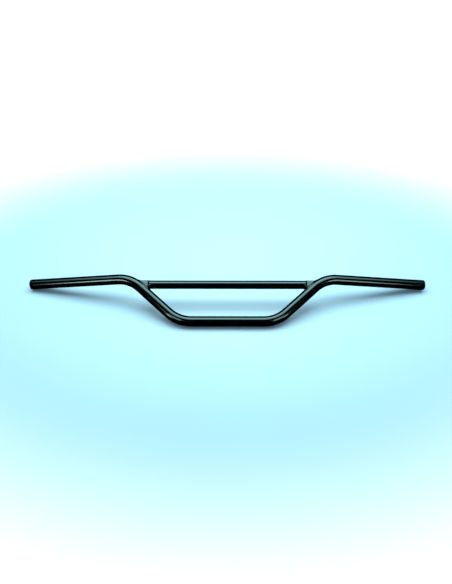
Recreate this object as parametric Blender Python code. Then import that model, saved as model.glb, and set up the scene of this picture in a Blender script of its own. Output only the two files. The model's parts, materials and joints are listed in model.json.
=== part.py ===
"""Off-road motorcycle handlebar, lying down as it rests on a table.

One steel tube is bent four times into a clamp section, two risers and two grip arms. A thinner
crossbar braces the risers: its ends are pressed flat, cut to the shape of the risers and welded.

Metres, +Z up. The table is z = 0, +X runs along the clamp section, and +Y runs from the clamp
section towards the grips. The clamp section and the two open ends touch the table.
"""
import math

import bmesh
import bpy
from mathutils import Matrix, Vector
from mathutils.bvhtree import BVHTree

# Main tube
TUBE_RADIUS = 0.011
TUBE_WALL = 0.002
BEND_RADIUS = 0.073

# Corners of the main tube's axis, before the bends round them off
FOOT_HALF_SPAN = 0.1033
SHOULDER_HALF_SPAN = 0.2066
END_HALF_SPAN = 0.435
SHOULDER_RISE = 0.0939
GRIP_OFFSET = 0.1096
RISER_TILT = math.radians(27)

# Crossbar, in the plane of the risers apart from its pressed ends, which lean and stand out from it
CROSSBAR_RADIUS = 0.009
CROSSBAR_WALL = 0.0015
CROSSBAR_RISE = 0.0806
PRESSED_HALF_THICKNESS = 0.004
PRESSED_LEAN = math.radians(9)
PRESSED_SHIFT = 0.002
PRESS_START = 0.1655
PRESS_END = 0.1695
ROUND_POWER = 2.0
PRESSED_POWER = 3.6

# Welds
WELD_LEG = 0.002
WELD_CROWN = 0.0004
GAP = 0.0003

# Mesh density
TUBE_SIDES = 32
BEND_STEPS = 8
CROSSBAR_SIDES = 32
PRESS_STEPS = 4
WELD_STATIONS = 96
MEET_ROUNDS = 32
MEET_SHARE = 0.25
SHARP_ANGLE = math.radians(40)

CLAMP_AXIS = Vector((0.0, -GRIP_OFFSET / 2, TUBE_RADIUS))
PLANE_UP = Vector((0.0, math.cos(RISER_TILT), math.sin(RISER_TILT)))
PLANE_NORMAL = Vector((0.0, -math.sin(RISER_TILT), math.cos(RISER_TILT)))
FULL_TURN = 2 * math.pi


def clear_scene():
    for old in list(bpy.data.objects):
        bpy.data.objects.remove(old, do_unlink=True)


def gloss_black(name, color, roughness, metallic):
    material = bpy.data.materials.new(name)
    material.use_nodes = True
    shader = material.node_tree.nodes["Principled BSDF"]
    shader.inputs["Base Color"].default_value = (*color, 1.0)
    shader.inputs["Roughness"].default_value = roughness
    shader.inputs["Metallic"].default_value = metallic
    return material


def new_object(name, bm, material=None):
    """Closes off a bmesh into an object, with its faces pointing outwards."""
    bmesh.ops.recalc_face_normals(bm, faces=bm.faces)
    mesh = bpy.data.meshes.new(name)
    bm.to_mesh(mesh)
    bm.free()
    mesh.shade_smooth()
    mesh.set_sharp_from_angle(angle=SHARP_ANGLE)
    if material:
        mesh.materials.append(material)
    made = bpy.data.objects.new(name, mesh)
    bpy.context.scene.collection.objects.link(made)
    return made


def cut(target, cutter):
    cutter.hide_render = True
    cutter.display_type = "WIRE"
    boolean = target.modifiers.new("cut_by_" + cutter.name, "BOOLEAN")
    boolean.operation = "DIFFERENCE"
    boolean.solver = "EXACT"
    boolean.object = cutter


def in_riser_plane(x, up, out=0.0):
    """A point up from the clamp axis in the risers' plane, and out of that plane."""
    return CLAMP_AXIS + Vector((x, 0.0, 0.0)) + up * PLANE_UP + out * PLANE_NORMAL


def axis_corners():
    """The corners of the main tube's axis, from the left end to the right end."""
    foot = in_riser_plane(FOOT_HALF_SPAN, 0.0)
    shoulder = in_riser_plane(SHOULDER_HALF_SPAN, SHOULDER_RISE)
    droop = math.atan2(shoulder.z - TUBE_RADIUS, END_HALF_SPAN - SHOULDER_HALF_SPAN)
    end = Vector((END_HALF_SPAN, GRIP_OFFSET / 2, TUBE_RADIUS * math.cos(droop)))
    right = [foot, shoulder, end]
    left = [Vector((-point.x, point.y, point.z)) for point in reversed(right)]
    return left + right


def open_edges(geometry, moved):
    return [e for e in geometry if isinstance(e, bmesh.types.BMEdge) and all(v in moved for v in e.verts)]


def sweep_bar(bm, radii):
    """Sweeps circles of the given radii along the main tube's axis, as straights and bends.

    Returns the edges at the left end and the edges at the right end.
    """
    corners = axis_corners()
    heading = (corners[1] - corners[0]).normalized()
    place = Matrix.Translation(corners[0]) @ heading.to_track_quat("Z", "Y").to_matrix().to_4x4()
    for radius in radii:
        bmesh.ops.create_circle(bm, segments=TUBE_SIDES, radius=radius, matrix=place)
    first = list(bm.edges)
    edges = first
    here = corners[0]
    for corner, after in zip(corners[1:], corners[2:] + [None]):
        trim = 0.0
        if after:
            next_heading = (after - corner).normalized()
            turn = heading.angle(next_heading)
            trim = BEND_RADIUS * math.tan(turn / 2)
        stop = corner - heading * trim
        made = bmesh.ops.extrude_edge_only(bm, edges=edges)["geom"]
        moved = {v for v in made if isinstance(v, bmesh.types.BMVert)}
        bmesh.ops.translate(bm, verts=list(moved), vec=stop - here)
        edges = open_edges(made, moved)
        here = stop
        if after:
            hinge = heading.cross(next_heading).normalized()
            made = bmesh.ops.spin(
                bm, geom=list(moved) + edges, cent=stop + hinge.cross(heading) * BEND_RADIUS,
                axis=hinge, angle=turn, steps=BEND_STEPS, dvec=(0, 0, 0))["geom_last"]
            edges = [e for e in made if isinstance(e, bmesh.types.BMEdge)]
            heading = next_heading
            here = corner + heading * trim
    return first, edges


def end_face(bm, edges):
    """The flat ring between the outer and the inner circle at one end of the tube."""
    corners = {v for edge in edges for v in edge.verts}
    centre = sum((v.co for v in corners), Vector()) / len(corners)
    between = TUBE_RADIUS - TUBE_WALL / 2
    bore = [v for v in corners if (v.co - centre).length < between]

    def facing(vert):
        return min(bore, key=lambda other: (other.co - vert.co).length)

    for edge in edges:
        start, stop = edge.verts
        if start not in bore:
            bm.faces.new((start, stop, facing(stop), facing(start)))


def main_tube(material):
    bm = bmesh.new()
    for edges in sweep_bar(bm, (TUBE_RADIUS, TUBE_RADIUS - TUBE_WALL)):
        end_face(bm, edges)
    return new_object("main_tube", bm, material)


def bar_cutter():
    """The main tube without its bore, larger by the gap that every touching piece keeps."""
    bm = bmesh.new()
    for edges in sweep_bar(bm, (TUBE_RADIUS + GAP,)):
        bmesh.ops.edgeloop_fill(bm, edges=edges)
    return new_object("bar_cutter", bm)


def pressed_share(x):
    """How far the crossbar is pressed flat at x, from 0 where it is round to 1."""
    share = (abs(x) - PRESS_START) / (PRESS_END - PRESS_START)
    share = min(max(share, 0.0), 1.0)
    return share * share * (3 - 2 * share)


def crossbar_point(x, turn, offset):
    """A point of the crossbar's skin, moved out by an offset that is negative for its bore."""
    share = pressed_share(x)
    power = 2 / (ROUND_POWER + (PRESSED_POWER - ROUND_POWER) * share)
    thickness = CROSSBAR_RADIUS + (PRESSED_HALF_THICKNESS - CROSSBAR_RADIUS) * share
    height = CROSSBAR_RADIUS + offset
    up = math.copysign(abs(math.cos(turn)) ** power, math.cos(turn)) * height
    out = math.copysign(abs(math.sin(turn)) ** power, math.sin(turn)) * (thickness + offset)
    lean = PRESSED_LEAN * share
    leant_up = up * math.cos(lean) + out * math.sin(lean)
    leant_out = out * math.cos(lean) - up * math.sin(lean)
    return in_riser_plane(x, CROSSBAR_RISE + leant_up, leant_out + PRESSED_SHIFT * share)


def crossbar_stations():
    """Places along the crossbar, from axis to axis of the two risers."""
    share = CROSSBAR_RISE / SHOULDER_RISE
    reach = FOOT_HALF_SPAN + (SHOULDER_HALF_SPAN - FOOT_HALF_SPAN) * share
    step = (PRESS_END - PRESS_START) / PRESS_STEPS
    right = [PRESS_START + step * i for i in range(PRESS_STEPS + 1)] + [reach]
    return [-x for x in reversed(right)] + right


def band(bm, ring, other):
    """Joins two rings of vertices with a band of quads."""
    count = len(ring)
    for i in range(count):
        j = (i + 1) % count
        bm.faces.new((ring[i], ring[j], other[j], other[i]))


def crossbar_skin(bm, offset):
    """One skin of the crossbar; returns its rings of vertices."""
    turns = [FULL_TURN * i / CROSSBAR_SIDES for i in range(CROSSBAR_SIDES)]
    rings = [[bm.verts.new(crossbar_point(x, turn, offset)) for turn in turns] for x in crossbar_stations()]
    for ring, other in zip(rings, rings[1:]):
        band(bm, ring, other)
    return rings


def crossbar(material, riser_cutter):
    bm = bmesh.new()
    outside = crossbar_skin(bm, 0.0)
    bore = crossbar_skin(bm, -CROSSBAR_WALL)
    for end in (0, -1):
        band(bm, outside[end], bore[end])
    made = new_object("crossbar", bm, material)
    cut(made, riser_cutter)
    return made


def meet_riser(turn, offset, side, riser_tree):
    """Where the crossbar's skin, moved out by an offset, meets the riser on side -1 or 1.

    The skin's shape depends on the place that is looked for, so each round goes part of the way to
    the place that the last shape gives.
    """
    x = side * PRESS_END
    for _ in range(MEET_ROUNDS):
        start = crossbar_point(x, turn, offset)
        start.x = 0.0
        x += MEET_SHARE * (riser_tree.ray_cast(start, Vector((side, 0.0, 0.0)))[0].x - x)
    return x


def weld_section(turn, side, riser_tree):
    """A slice of the fillet: the toe on the crossbar, the crown, and the riser's side up to the corner."""
    offsets = (GAP + WELD_LEG, GAP + WELD_LEG / 2, GAP)
    xs = [meet_riser(turn, offset, side, riser_tree) for offset in offsets]
    riser_side = [crossbar_point(x, turn, offset) for x, offset in zip(xs, offsets)]
    crossbar_toe = crossbar_point(xs[-1] - side * WELD_LEG, turn, GAP)
    middle = (crossbar_toe + riser_side[0]) / 2
    crown = middle + (middle - riser_side[-1]).normalized() * WELD_CROWN
    return [crossbar_toe, crown, *riser_side]


def weld(name, side, material, riser_tree):
    """A fillet bead round one end of the crossbar: a closed ring in the corner of both surfaces."""
    bm = bmesh.new()
    rings = []
    for i in range(WELD_STATIONS):
        turn = FULL_TURN * i / WELD_STATIONS
        rings.append([bm.verts.new(point) for point in weld_section(turn, side, riser_tree)])
    for i, ring in enumerate(rings):
        band(bm, ring, rings[(i + 1) % len(rings)])
    return new_object(name, bm, material)


def build():
    clear_scene()
    paint = gloss_black("tube_paint", (0.012, 0.014, 0.015), 0.16, 0.0)
    brace_paint = gloss_black("crossbar_paint", (0.012, 0.014, 0.015), 0.18, 0.0)
    weld_paint = gloss_black("weld_paint", (0.014, 0.016, 0.017), 0.24, 0.0)
    main_tube(paint)
    riser_cutter = bar_cutter()
    crossbar(brace_paint, riser_cutter)
    surface = bmesh.new()
    surface.from_mesh(riser_cutter.data)
    riser_tree = BVHTree.FromBMesh(surface)
    surface.free()
    for name, side in (("weld_left", -1), ("weld_right", 1)):
        weld(name, side, weld_paint, riser_tree)


build()
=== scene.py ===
"""Looks for an off-road motorcycle handlebar that lies on a pale table, in gloss black paint.

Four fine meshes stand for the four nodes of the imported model: the bent main tube, the crossbar
that braces its risers, and the weld bead round each end of the crossbar.
"""

import json
import math

import bmesh
import bpy
from mathutils import Matrix, Quaternion, Vector
from mathutils.bvhtree import BVHTree


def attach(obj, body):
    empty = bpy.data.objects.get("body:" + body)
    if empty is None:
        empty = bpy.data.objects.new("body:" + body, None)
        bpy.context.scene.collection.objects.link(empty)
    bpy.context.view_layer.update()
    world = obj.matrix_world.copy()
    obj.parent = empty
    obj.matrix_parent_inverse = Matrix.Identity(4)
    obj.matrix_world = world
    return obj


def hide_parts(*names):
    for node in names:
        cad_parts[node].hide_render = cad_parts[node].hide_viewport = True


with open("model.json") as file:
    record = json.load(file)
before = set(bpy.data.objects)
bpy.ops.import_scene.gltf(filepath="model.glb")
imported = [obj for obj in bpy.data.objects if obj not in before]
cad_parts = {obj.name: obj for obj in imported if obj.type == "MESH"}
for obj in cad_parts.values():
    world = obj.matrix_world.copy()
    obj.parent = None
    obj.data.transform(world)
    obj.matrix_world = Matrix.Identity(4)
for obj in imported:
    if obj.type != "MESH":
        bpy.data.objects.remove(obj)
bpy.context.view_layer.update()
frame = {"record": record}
BODY = "root"
FULL_TURN = 2 * math.pi
QUARTER_TURN = math.pi / 2

# Main tube, in metres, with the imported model's driving dimensions
TUBE_RADIUS = 0.011
TUBE_WALL = 0.002
BEND_RADIUS = 0.073
FOOT_HALF_SPAN = 0.1033
SHOULDER_HALF_SPAN = 0.2066
END_HALF_SPAN = 0.435
SHOULDER_RISE = 0.0939
GRIP_OFFSET = 0.1096
RISER_TILT = math.radians(27)
END_ROUNDING = 0.0005
BORE_ROUNDING = 0.0003

# Crossbar, in the plane of the risers apart from its pressed ends, which lean and stand out from it
CROSSBAR_RADIUS = 0.009
CROSSBAR_WALL = 0.0015
CROSSBAR_RISE = 0.0806
PRESSED_HALF_THICKNESS = 0.004
PRESSED_LEAN = math.radians(9)
PRESSED_SHIFT = 0.002
PRESS_START = 0.1655
PRESS_END = 0.1695
ROUND_POWER = 2.0
PRESSED_POWER = 3.6

# Weld beads
WELD_LEG = 0.002
WELD_CROWN = 0.0004
WELD_SINK = 0.0001
WELD_ROOT = 0.0004
RIPPLE_PITCH = 0.0016
RIPPLE_HEIGHT = 0.00014
RIPPLE_BOW = 0.35
LEG_WANDER = 0.07
LEG_WAVES = (3, 8)

# Mesh density
TUBE_SIDES = 96
STRAIGHT_STEP = 0.006
BEND_STEPS = 24
ROUNDING_STEPS = 3
CROSSBAR_SIDES = 96
PRESS_STEPS = 26
WELD_STATIONS = 360
BEAD_STEPS = 10
MEET_ROUNDS = 32
MEET_SHARE = 0.25
SHARP_ANGLE = math.radians(40)

# Reach of the worn rim at each open end
RIM_REACH = 0.003


def mount_place(name):
    return Vector(next(m for m in frame["record"]["mounts"] if m["name"] == name)["pos_m"])


CLAMP_AXIS = mount_place("clamp_section")
PLANE_UP = Vector((0.0, math.cos(RISER_TILT), math.sin(RISER_TILT)))
PLANE_NORMAL = Vector((0.0, -math.sin(RISER_TILT), math.cos(RISER_TILT)))


# ---------------------------------------------------------------- geometry

def loft(name, rings, marks, bore_rings=()):
    """Joins rings of points into one closed skin, the last ring to the first.

    Each ring has its marks: for every point its place on the straightened tube, and how near it
    is to a worn rim. Faces between two bore rings take the second material.
    """
    bm = bmesh.new()
    straight = bm.verts.layers.float_vector.new("straight")
    rim = bm.verts.layers.float.new("rim")
    lines = []
    for ring, ring_marks in zip(rings, marks):
        line = []
        for point, (place, share) in zip(ring, ring_marks):
            vert = bm.verts.new(point)
            vert[straight] = place
            vert[rim] = share
            line.append(vert)
        lines.append(line)
    for k, line in enumerate(lines):
        after = (k + 1) % len(lines)
        inside = k in bore_rings and after in bore_rings
        for i, vert in enumerate(line):
            j = (i + 1) % len(line)
            face = bm.faces.new((vert, line[j], lines[after][j], lines[after][i]))
            face.material_index = int(inside)
            face.smooth = True
    bmesh.ops.recalc_face_normals(bm, faces=bm.faces)
    mesh = bpy.data.meshes.new(name)
    bm.to_mesh(mesh)
    bm.free()
    mesh.set_sharp_from_angle(angle=SHARP_ANGLE)
    made = bpy.data.objects.new(name, mesh)
    bpy.context.scene.collection.objects.link(made)
    return made


def in_riser_plane(x, up, out=0.0):
    """A point up from the clamp axis in the risers' plane, and out of that plane."""
    return CLAMP_AXIS + Vector((x, 0.0, 0.0)) + up * PLANE_UP + out * PLANE_NORMAL


def axis_corners():
    """The corners of the main tube's axis, from the left end to the right end."""
    foot = in_riser_plane(FOOT_HALF_SPAN, 0.0)
    shoulder = in_riser_plane(SHOULDER_HALF_SPAN, SHOULDER_RISE)
    droop = math.atan2(shoulder.z - TUBE_RADIUS, END_HALF_SPAN - SHOULDER_HALF_SPAN)
    end = Vector((END_HALF_SPAN, GRIP_OFFSET / 2, TUBE_RADIUS * math.cos(droop)))
    right = [foot, shoulder, end]
    left = [Vector((-point.x, point.y, point.z)) for point in reversed(right)]
    return left + right


def straight_places(place, stop):
    """Places on a straight, from after the given place up to the point where it stops."""
    run = stop - place.translation
    steps = math.ceil(run.length / STRAIGHT_STEP)
    return [Matrix.Translation(run * i / steps) @ place for i in range(1, steps + 1)]


def bend_places(place, centre, hinge, turn):
    """Places round a bend, from after the given place."""
    about = Matrix.Translation(centre)
    back = Matrix.Translation(-centre)
    turns = [turn * i / BEND_STEPS for i in range(1, BEND_STEPS + 1)]
    return [about @ Matrix.Rotation(part, 4, hinge) @ back @ place for part in turns]


def bar_places():
    """Places along the main tube's axis, left to right, each with its own Z along the tube."""
    corners = axis_corners()
    heading = (corners[1] - corners[0]).normalized()
    turned = heading.to_track_quat("Z", "Y").to_matrix().to_4x4()
    places = [Matrix.Translation(corners[0]) @ turned]
    for corner, after in zip(corners[1:], corners[2:] + [None]):
        trim = 0.0
        if after:
            next_heading = (after - corner).normalized()
            turn = heading.angle(next_heading)
            trim = BEND_RADIUS * math.tan(turn / 2)
        stop = corner - heading * trim
        places += straight_places(places[-1], stop)
        if after:
            hinge = heading.cross(next_heading).normalized()
            centre = stop + hinge.cross(heading) * BEND_RADIUS
            places += bend_places(places[-1], centre, hinge, turn)
            heading = next_heading
    return places


def end_profile():
    """Insets and radii round one open end, from the outer skin over the face into the bore."""
    parts = [QUARTER_TURN * i / ROUNDING_STEPS for i in range(ROUNDING_STEPS + 1)]
    bore = TUBE_RADIUS - TUBE_WALL
    outer = [(END_ROUNDING * (1 - math.sin(part)),
              TUBE_RADIUS - END_ROUNDING * (1 - math.cos(part))) for part in parts]
    inner = [(BORE_ROUNDING * (1 - math.cos(part)),
              bore + BORE_ROUNDING * (1 - math.sin(part))) for part in parts]
    return outer + inner


def main_tube():
    places = bar_places()
    alongs = [0.0]
    for place, after in zip(places, places[1:]):
        alongs.append(alongs[-1] + (after.translation - place.translation).length)
    length = alongs[-1]
    middle = list(zip(places, alongs))[1:-1]
    profile = end_profile()
    bore = TUBE_RADIUS - TUBE_WALL
    outer_count = ROUNDING_STEPS + 1
    left_outer = [(places[0], 0.0, inset, radius) for inset, radius in profile[:outer_count]]
    left_inner = [(places[0], 0.0, inset, radius) for inset, radius in profile[outer_count:]]
    right_end = [(places[-1], length, -inset, radius) for inset, radius in profile]
    outside = [(place, along, 0.0, TUBE_RADIUS) for place, along in middle]
    inside = [(place, along, 0.0, bore) for place, along in reversed(middle)]
    rounds = left_outer[::-1] + outside + right_end + inside + left_inner[::-1]
    bore_start = len(left_outer) + len(outside) + len(right_end) - 1
    rings, marks = [], []
    for place, along, shift, radius in rounds:
        ring, ring_marks = [], []
        here = along + shift
        rim = max(0.0, 1.0 - min(here, length - here) / RIM_REACH)
        for i in range(TUBE_SIDES):
            turn = FULL_TURN * i / TUBE_SIDES
            across = Vector((radius * math.cos(turn), radius * math.sin(turn), shift))
            ring.append(place @ across)
            ring_marks.append(((here, across.x, across.y), rim))
        rings.append(ring)
        marks.append(ring_marks)
    bore_rings = range(bore_start, bore_start + len(inside) + 2)
    return loft("main_tube_skin", rings, marks, bore_rings)


def pressed_share(x):
    """How far the crossbar is pressed flat at x, from 0 where it is round to 1."""
    share = (abs(x) - PRESS_START) / (PRESS_END - PRESS_START)
    share = min(max(share, 0.0), 1.0)
    return share * share * (3 - 2 * share)


def crossbar_point(x, turn, offset):
    """A point of the crossbar's skin, moved out by an offset that is negative for its bore."""
    share = pressed_share(x)
    power = 2 / (ROUND_POWER + (PRESSED_POWER - ROUND_POWER) * share)
    thickness = CROSSBAR_RADIUS + (PRESSED_HALF_THICKNESS - CROSSBAR_RADIUS) * share
    height = CROSSBAR_RADIUS + offset
    up = math.copysign(abs(math.cos(turn)) ** power, math.cos(turn)) * height
    out = math.copysign(abs(math.sin(turn)) ** power, math.sin(turn)) * (thickness + offset)
    lean = PRESSED_LEAN * share
    leant_up = up * math.cos(lean) + out * math.sin(lean)
    leant_out = out * math.cos(lean) - up * math.sin(lean)
    return in_riser_plane(x, CROSSBAR_RISE + leant_up, leant_out + PRESSED_SHIFT * share)


def meet_riser(turn, offset, side, riser_tree):
    """Where the crossbar's skin, moved out by an offset, meets the riser on side -1 or 1.

    The skin's shape depends on the place that is looked for, so each round goes part of the way to
    the place that the last shape gives.
    """
    x = side * PRESS_END
    for _ in range(MEET_ROUNDS):
        start = crossbar_point(x, turn, offset)
        start.x = 0.0
        x += MEET_SHARE * (riser_tree.ray_cast(start, Vector((side, 0.0, 0.0)))[0].x - x)
    return x


def crossbar_rings(offset, riser_tree):
    """Rings of the crossbar's outer skin or bore, from riser to riser, with their marks."""
    turns = [FULL_TURN * i / CROSSBAR_SIDES for i in range(CROSSBAR_SIDES)]
    reach = {side: [meet_riser(turn, offset, side, riser_tree) for turn in turns] for side in (-1, 1)}
    round_steps = math.ceil(2 * PRESS_START / STRAIGHT_STEP)
    round_xs = [PRESS_START * (2 * i / round_steps - 1) for i in range(round_steps + 1)]
    shares = [i / PRESS_STEPS for i in range(1, PRESS_STEPS + 1)]
    lines = [[-PRESS_START + (x + PRESS_START) * share for x in reach[-1]] for share in reversed(shares)]
    lines += [[x] * CROSSBAR_SIDES for x in round_xs]
    lines += [[PRESS_START + (x - PRESS_START) * share for x in reach[1]] for share in shares]
    rings = [[crossbar_point(x, turn, offset) for x, turn in zip(line, turns)] for line in lines]
    radius = CROSSBAR_RADIUS + offset
    marks = [[((x, radius * math.cos(turn), radius * math.sin(turn)), 0.0)
              for x, turn in zip(line, turns)] for line in lines]
    return rings, marks


def crossbar(riser_tree):
    outside, outside_marks = crossbar_rings(0.0, riser_tree)
    bore, bore_marks = crossbar_rings(-CROSSBAR_WALL, riser_tree)
    bore_rings = range(len(outside), len(outside) + len(bore))
    return loft("crossbar_skin", outside + bore[::-1], outside_marks + bore_marks[::-1], bore_rings)


def bead_section(turn, phase, side, riser_tree):
    """One slice of a weld bead: its root, its toe on the crossbar, its crown, its toe on the riser."""
    long_wave, short_wave = LEG_WAVES
    wander = (math.sin(long_wave * turn + side) + math.sin(short_wave * turn)) / 2
    leg = WELD_LEG * (1 + LEG_WANDER * wander)
    corner_x = meet_riser(turn, 0.0, side, riser_tree)
    riser_x = meet_riser(turn, leg, side, riser_tree)
    corner = crossbar_point(corner_x, turn, 0.0)
    crossbar_toe = crossbar_point(corner_x - side * leg, turn, -WELD_SINK)
    riser_toe = crossbar_point(riser_x, turn, leg) + Vector((side * WELD_SINK, 0.0, 0.0))
    outward = ((crossbar_toe + riser_toe) / 2 - corner).normalized()
    section = [corner - outward * WELD_ROOT]
    for i in range(BEAD_STEPS + 1):
        share = i / BEAD_STEPS
        crown = 4 * share * (1 - share)
        ripple = abs(math.sin(math.pi * (phase + RIPPLE_BOW * crown)))
        rise = (WELD_CROWN + RIPPLE_HEIGHT * (ripple - 1)) * crown
        section.append(crossbar_toe.lerp(riser_toe, share) + outward * rise)
    return section


def weld_bead(name, side, riser_tree):
    """A fillet bead round one end of the crossbar, laid in overlapping ripples."""
    turns = [FULL_TURN * i / WELD_STATIONS for i in range(WELD_STATIONS)]
    path = [crossbar_point(meet_riser(turn, WELD_LEG / 2, side, riser_tree), turn, WELD_LEG / 2)
            for turn in turns]
    alongs = [0.0]
    for point, after in zip(path, path[1:] + path[:1]):
        alongs.append(alongs[-1] + (after - point).length)
    length = alongs.pop()
    ripples = round(length / RIPPLE_PITCH)
    rings = [bead_section(turn, ripples * along / length, side, riser_tree)
             for turn, along in zip(turns, alongs)]
    marks = [[(point, 0.0) for point in ring] for ring in rings]
    return loft(name, rings, marks)


# ---------------------------------------------------------------- materials

def add(tree, kind, **sockets):
    """A shader node of a kind. Each named socket is given a value or linked to another socket."""
    made = tree.nodes.new("ShaderNode" + kind)
    for name, value in sockets.items():
        socket = made.inputs[name.replace("_", " ")]
        if isinstance(value, bpy.types.NodeSocket):
            tree.links.new(value, socket)
        else:
            socket.default_value = value
    return made


def attribute(tree, name, output):
    node = add(tree, "Attribute")
    node.attribute_name = name
    return node.outputs[output]


def noise(tree, place, scale, detail, stretch=(1.0, 1.0, 1.0)):
    moved = add(tree, "Mapping", Vector=place, Scale=stretch).outputs["Vector"]
    return add(tree, "TexNoise", Vector=moved, Scale=scale, Detail=detail).outputs["Fac"]


def remap(tree, value, low, high, to_low, to_high):
    """A value carried from one range to another, and held at its ends."""
    return add(tree, "MapRange", Value=value, From_Min=low, From_Max=high,
               To_Min=to_low, To_Max=to_high).outputs["Result"]


def mix(tree, share, first, second):
    return add(tree, "MixRGB", Fac=share, Color1=first, Color2=second).outputs["Color"]


def combine(tree, operation, first, second):
    node = tree.nodes.new("ShaderNodeMath")
    node.operation = operation
    for socket, value in zip(node.inputs, (first, second)):
        if isinstance(value, bpy.types.NodeSocket):
            tree.links.new(value, socket)
        else:
            socket.default_value = value
    return node.outputs["Value"]


def bump(tree, height, distance, under=None):
    sockets = {"Height": height, "Distance": distance}
    if under:
        sockets["Normal"] = under
    return add(tree, "Bump", **sockets).outputs["Normal"]


def new_material(name):
    made = bpy.data.materials.new(name)
    made.use_nodes = True
    return made, made.node_tree, made.node_tree.nodes["Principled BSDF"]


BLACK_DEEP = (0.0004, 0.0005, 0.0005, 1.0)
BLACK_THIN = (0.0010, 0.0013, 0.0014, 1.0)
BARE_STEEL = (0.33, 0.32, 0.30, 1.0)
DULL_STEEL = (0.20, 0.19, 0.18, 1.0)
RUST = (0.16, 0.075, 0.035, 1.0)

# Paint: its patterns per metre, the drawn tube's lines under it, and its worn rims
PAINT_IOR = 1.58
CLOUD_SCALE = 38.0
GRAIN_SCALE = 900.0
GRAIN_ROUGHNESS = 0.03
PEEL_SCALE = 420.0
PAINT_LINES = (14.0, 1300.0, 1300.0)
LINE_DEPTH_SHARE = 0.4
CHIP_SCALE = 700.0
CHIP_SPREAD = 0.5
CHIP_START = 1.2
CHIP_FULL = 1.28
CHIP_DEPTH = 0.00006
CHIP_ROUGHNESS = 0.25

# Bore: the drawing lines and rust patches in the bare steel
BORE_LINES = (10.0, 900.0, 900.0)
PATCH_SCALE = 160.0
RUST_START = 0.5
RUST_FULL = 0.66
STEEL_METALLIC = 0.9
RUST_METALLIC = 0.1
LINE_DEPTH = 0.00002
PATCH_DEPTH = 0.00004


def gloss_black(name, smooth, dull, peel_height, worn_rims=False):
    """Gloss black paint on steel: orange peel, faint lines of the drawn tube, and maybe worn rims."""
    made, tree, shader = new_material(name)
    straight = attribute(tree, "straight", "Vector")
    cloud = noise(tree, straight, CLOUD_SCALE, 4.0)
    grain = noise(tree, straight, GRAIN_SCALE, 2.0)
    peel = noise(tree, straight, PEEL_SCALE, 2.0)
    lines = noise(tree, straight, 1.0, 3.0, PAINT_LINES)
    color = mix(tree, remap(tree, cloud, 0.35, 0.68, 0.0, 1.0), BLACK_DEEP, BLACK_THIN)
    gloss = combine(tree, "ADD", remap(tree, cloud, 0.3, 0.7, smooth, dull),
                    remap(tree, grain, 0.45, 0.75, 0.0, GRAIN_ROUGHNESS))
    coat = bump(tree, lines, peel_height * LINE_DEPTH_SHARE, bump(tree, peel, peel_height))
    if worn_rims:
        flecks = noise(tree, straight, CHIP_SCALE, 5.0)
        chips = combine(tree, "ADD", attribute(tree, "rim", "Fac"),
                        remap(tree, flecks, 0.3, 0.7, -CHIP_SPREAD, CHIP_SPREAD))
        bare = remap(tree, chips, CHIP_START, CHIP_FULL, 0.0, 1.0)
        color = mix(tree, bare, color, BARE_STEEL)
        gloss = combine(tree, "ADD", gloss, remap(tree, bare, 0.0, 1.0, 0.0, CHIP_ROUGHNESS))
        coat = bump(tree, bare, -CHIP_DEPTH, coat)
        tree.links.new(bare, shader.inputs["Metallic"])
    tree.links.new(color, shader.inputs["Base Color"])
    tree.links.new(gloss, shader.inputs["Roughness"])
    tree.links.new(coat, shader.inputs["Normal"])
    shader.inputs["IOR"].default_value = PAINT_IOR
    return made


def bore_steel(name):
    """The tube's bare inside: dull grey steel with lengthwise drawing lines and a bloom of rust."""
    made, tree, shader = new_material(name)
    straight = attribute(tree, "straight", "Vector")
    lines = noise(tree, straight, 1.0, 4.0, BORE_LINES)
    patches = noise(tree, straight, PATCH_SCALE, 6.0)
    rusty = remap(tree, patches, RUST_START, RUST_FULL, 0.0, 1.0)
    color = mix(tree, rusty, mix(tree, lines, DULL_STEEL, BARE_STEEL), RUST)
    metallic = remap(tree, rusty, 0.0, 1.0, STEEL_METALLIC, RUST_METALLIC)
    tree.links.new(color, shader.inputs["Base Color"])
    tree.links.new(metallic, shader.inputs["Metallic"])
    tree.links.new(remap(tree, patches, 0.3, 0.7, 0.38, 0.75), shader.inputs["Roughness"])
    coat = bump(tree, patches, PATCH_DEPTH, bump(tree, lines, LINE_DEPTH))
    tree.links.new(coat, shader.inputs["Normal"])
    return made


# ---------------------------------------------------------------- stage

KEY_COLOR = (0.50, 0.96, 1.0)
STRIP_COLOR = (0.67, 1.0, 0.96)
FILL_COLOR = (0.28, 0.49, 0.55)
BACKDROP_COLOR = (1.0, 1.0, 1.0)

# Height and depth of the softbox over the table, and the distance of the strips behind the viewer
KEY_HEIGHT = 1.265
KEY_FRONT = -0.065
KEY_BACK = 1.05
KEY_WIDTH = 3.4
STRIP_DISTANCE = 4.0

# The softbox's brightness, its shares at the back and front edges, the middle share of its width
# that is fully bright, and the share of the brightness left at its sides
KEY_RADIANCE = 6.25
KEY_BACK_SHARE = 1.35
KEY_FRONT_SHARE = 0.65
KEY_FULL_WIDTH = 0.25
KEY_SIDE_SHARE = 0.15

# Floor: half its width, the oval over which painted shade darkens its colour from the middle outwards,
# standing in for the softbox's light falling off, and the oval in which it glows far out
FLOOR_REACH = 12.0
OVAL_RATIO = 1.5
PAINTED_SHADE_MIDDLE = -0.05
PAINTED_SHADE_START = 0.05
PAINTED_SHADE_FULL = 0.65
GLOW_MIDDLE = 0.08
GLOW_START = 0.54
GLOW_FULL = 1.2
MOTTLE_SCALE = 3.0
PAPER = ((0.66, 0.64, 0.73, 1.0), (0.68, 0.66, 0.75, 1.0))
# The paper's colour darkened by painted shade, where the softbox's light falls off away from the middle
PAINTED_SHADE_PAPER = ((0.52, 0.54, 0.65, 1.0), (0.54, 0.56, 0.67, 1.0))

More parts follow.
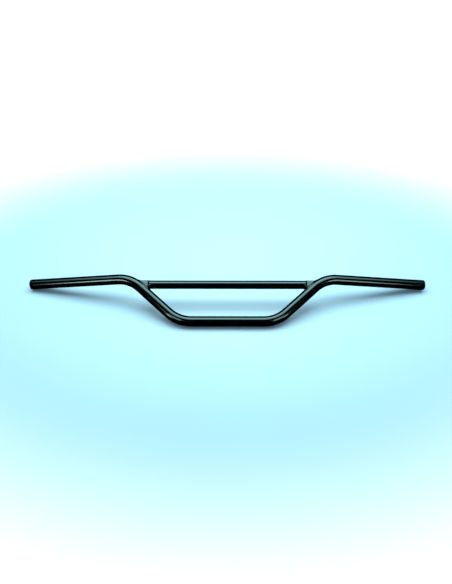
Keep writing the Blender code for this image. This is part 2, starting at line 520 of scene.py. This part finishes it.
# Strips: name, azimuth from straight ahead, half width, low and high elevation, radiance
STRIPS = (
    ("left_outer", -137.0, 4.5, 15, 32, 9.5),
    ("left_inner", -151.5, 7.5, 30, 56, 4.0),
    ("right_outer", 137.0, 4.5, 15, 32, 6.3),
    ("right_inner", 151.5, 7.5, 26, 54, 3.5),
)


def softbox(name, shape, place, target, size, color, radiance):
    """A flat area light that faces a target. Its radiance is the brightness it shows."""
    data = bpy.data.lights.new(name, "AREA")
    data.shape = shape
    data.size, data.size_y = size
    data.color = color
    area = data.size * data.size_y * (math.pi / 4 if shape == "ELLIPSE" else 1.0)
    data.energy = radiance * math.pi * area
    made = bpy.data.objects.new(name, data)
    bpy.context.scene.collection.objects.link(made)
    made.location = place
    made.rotation_euler = (Vector(place) - Vector(target)).to_track_quat("Z", "Y").to_euler()
    made.visible_camera = False
    return made


def shape_key(light):
    """Makes a softbox's brightness fall from its back edge to its front edge, and towards its sides."""
    light.data.use_nodes = True
    tree = light.data.node_tree
    place = add(tree, "SeparateXYZ", Vector=add(tree, "NewGeometry").outputs["Parametric"])
    along = remap(tree, place.outputs["Y"], 0.0, 1.0, KEY_BACK_SHARE, KEY_FRONT_SHARE)
    from_middle = combine(tree, "ABSOLUTE", combine(tree, "SUBTRACT", place.outputs["X"], 0.5), 0.0)
    across = add(tree, "MapRange", Value=from_middle, From_Min=KEY_FULL_WIDTH / 2, From_Max=0.5,
                 To_Min=1.0, To_Max=KEY_SIDE_SHARE)
    across.interpolation_type = "SMOOTHSTEP"
    share = combine(tree, "MULTIPLY", along, across.outputs["Result"])
    tree.links.new(share, tree.nodes["Emission"].inputs["Strength"])


def oval_distance(tree, place, middle):
    """How far a place is from the middle of an oval, measured along the oval's long axis."""
    moved = add(tree, "Mapping", Vector=place, Location=(0.0, -OVAL_RATIO * middle, 0.0),
                Scale=(1.0, OVAL_RATIO, 1.0))
    measure = add(tree, "VectorMath", Vector=moved.outputs["Vector"])
    measure.operation = "LENGTH"
    return measure.outputs["Value"]


def floor():
    """A pale table whose colour darkens outwards with painted shade of the softbox's falloff, and which
    glows into the backdrop far from the bar.
    """
    bm = bmesh.new()
    bmesh.ops.create_grid(bm, x_segments=1, y_segments=1, size=FLOOR_REACH)
    mesh = bpy.data.meshes.new("floor")
    bm.to_mesh(mesh)
    bm.free()
    made = bpy.data.objects.new("floor", mesh)
    bpy.context.scene.collection.objects.link(made)
    made.visible_glossy = False
    material, tree, shader = new_material("table_paper")
    place = add(tree, "TexCoord").outputs["Object"]
    mottle = noise(tree, place, MOTTLE_SCALE, 3.0)
    # Painted shade: the paper's colour darkens from the middle outwards, standing in for the softbox's
    # light falling off
    painted_shade = remap(tree, oval_distance(tree, place, PAINTED_SHADE_MIDDLE), PAINTED_SHADE_START, PAINTED_SHADE_FULL, 0.0, 1.0)
    shade = mix(tree, painted_shade, mix(tree, mottle, *PAPER), mix(tree, mottle, *PAINTED_SHADE_PAPER))
    tree.links.new(shade, shader.inputs["Base Color"])
    shader.inputs["Roughness"].default_value = 0.9
    shader.inputs["Specular IOR Level"].default_value = 0.1
    far = oval_distance(tree, place, GLOW_MIDDLE)
    glow = add(tree, "MapRange", Value=far, From_Min=GLOW_START, From_Max=GLOW_FULL)
    glow.interpolation_type = "SMOOTHSTEP"
    tree.links.new(glow.outputs["Result"], shader.inputs["Emission Strength"])
    shader.inputs["Emission Color"].default_value = (*BACKDROP_COLOR, 1.0)
    mesh.materials.append(material)


def strip(name, azimuth, half_width, low, high, radiance):
    """An upright softbox far behind the viewer, which shows in the paint but leaves the table alone."""
    out = Vector((math.sin(azimuth), math.cos(azimuth), 0.0)) * STRIP_DISTANCE
    bottom, top = STRIP_DISTANCE * math.tan(low), STRIP_DISTANCE * math.tan(high)
    middle = Vector((0.0, 0.0, (bottom + top) / 2))
    size = (2 * STRIP_DISTANCE * math.tan(half_width), top - bottom)
    made = softbox(name, "RECTANGLE", out + middle, middle, size, STRIP_COLOR, radiance)
    made.visible_diffuse = False


def sky(tree, color):
    return add(tree, "Background", Color=(*color, 1.0)).outputs["Background"]


def surroundings():
    """Dim light from all round, and a pale backdrop. Neither shows in the paint."""
    world = bpy.data.worlds.new("studio")
    world.use_nodes = True
    tree = world.node_tree
    seen = add(tree, "LightPath").outputs["Is Camera Ray"]
    both = tree.nodes.new("ShaderNodeMixShader")
    for socket, value in zip(both.inputs, (seen, sky(tree, FILL_COLOR), sky(tree, BACKDROP_COLOR))):
        tree.links.new(value, socket)
    tree.links.new(both.outputs["Shader"], tree.nodes["World Output"].inputs["Surface"])
    world.cycles_visibility.glossy = False
    bpy.context.scene.world = world


def lights():
    middle = (KEY_FRONT + KEY_BACK) / 2
    size = (KEY_WIDTH, KEY_BACK - KEY_FRONT)
    place, target = (0.0, middle, KEY_HEIGHT), (0.0, middle, 0.0)
    shape_key(softbox("key", "ELLIPSE", place, target, size, KEY_COLOR, KEY_RADIANCE))
    for name, azimuth, half_width, low, high, radiance in STRIPS:
        strip(name, *(math.radians(angle) for angle in (azimuth, half_width, low, high)), radiance)
    surroundings()


CAMERA_ELEVATION = math.radians(45)
CAMERA_DISTANCE = 1.2
CAMERA_TARGET = (-0.00298, 0.0319, 0.011)
CAMERA_ROLL = math.radians(0.09)
SENSOR_HEIGHT = 36.0
LENS = 33.683


def camera():
    data = bpy.data.cameras.new("camera")
    data.sensor_fit = "VERTICAL"
    data.sensor_height = SENSOR_HEIGHT
    data.lens = LENS
    made = bpy.data.objects.new("camera", data)
    bpy.context.scene.collection.objects.link(made)
    back = Vector((0.0, -math.cos(CAMERA_ELEVATION), math.sin(CAMERA_ELEVATION)))
    made.location = Vector(CAMERA_TARGET) + back * CAMERA_DISTANCE
    roll = Quaternion((0.0, 0.0, 1.0), CAMERA_ROLL)
    made.rotation_euler = (back.to_track_quat("Z", "Y") @ roll).to_euler()
    bpy.context.scene.camera = made


# ---------------------------------------------------------------- scene

def place_piece(piece, node, slot, *materials):
    for material in materials:
        piece.data.materials.append(material)
    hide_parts(node)
    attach(piece, BODY)


def build():
    tube_paint = gloss_black("tube_gloss_black", 0.07, 0.12, 0.00001, worn_rims=True)
    crossbar_paint = gloss_black("crossbar_gloss_black", 0.08, 0.13, 0.00001)
    weld_paint = gloss_black("weld_gloss_black", 0.12, 0.2, 0.00002)
    steel = bore_steel("bore_steel")

    bar = main_tube()
    skin = bmesh.new()
    skin.from_mesh(bar.data)
    riser_tree = BVHTree.FromBMesh(skin)
    skin.free()
    place_piece(bar, "main_tube", "tube_paint", tube_paint, steel)
    place_piece(crossbar(riser_tree), "crossbar", "crossbar_paint", crossbar_paint, steel)
    for side, node in ((-1, "weld_left"), (1, "weld_right")):
        place_piece(weld_bead(node + "_bead", side, riser_tree), node, "weld_paint", weld_paint)

    floor()
    lights()
    camera()
    bpy.context.scene.view_settings.view_transform = "Standard"


build()
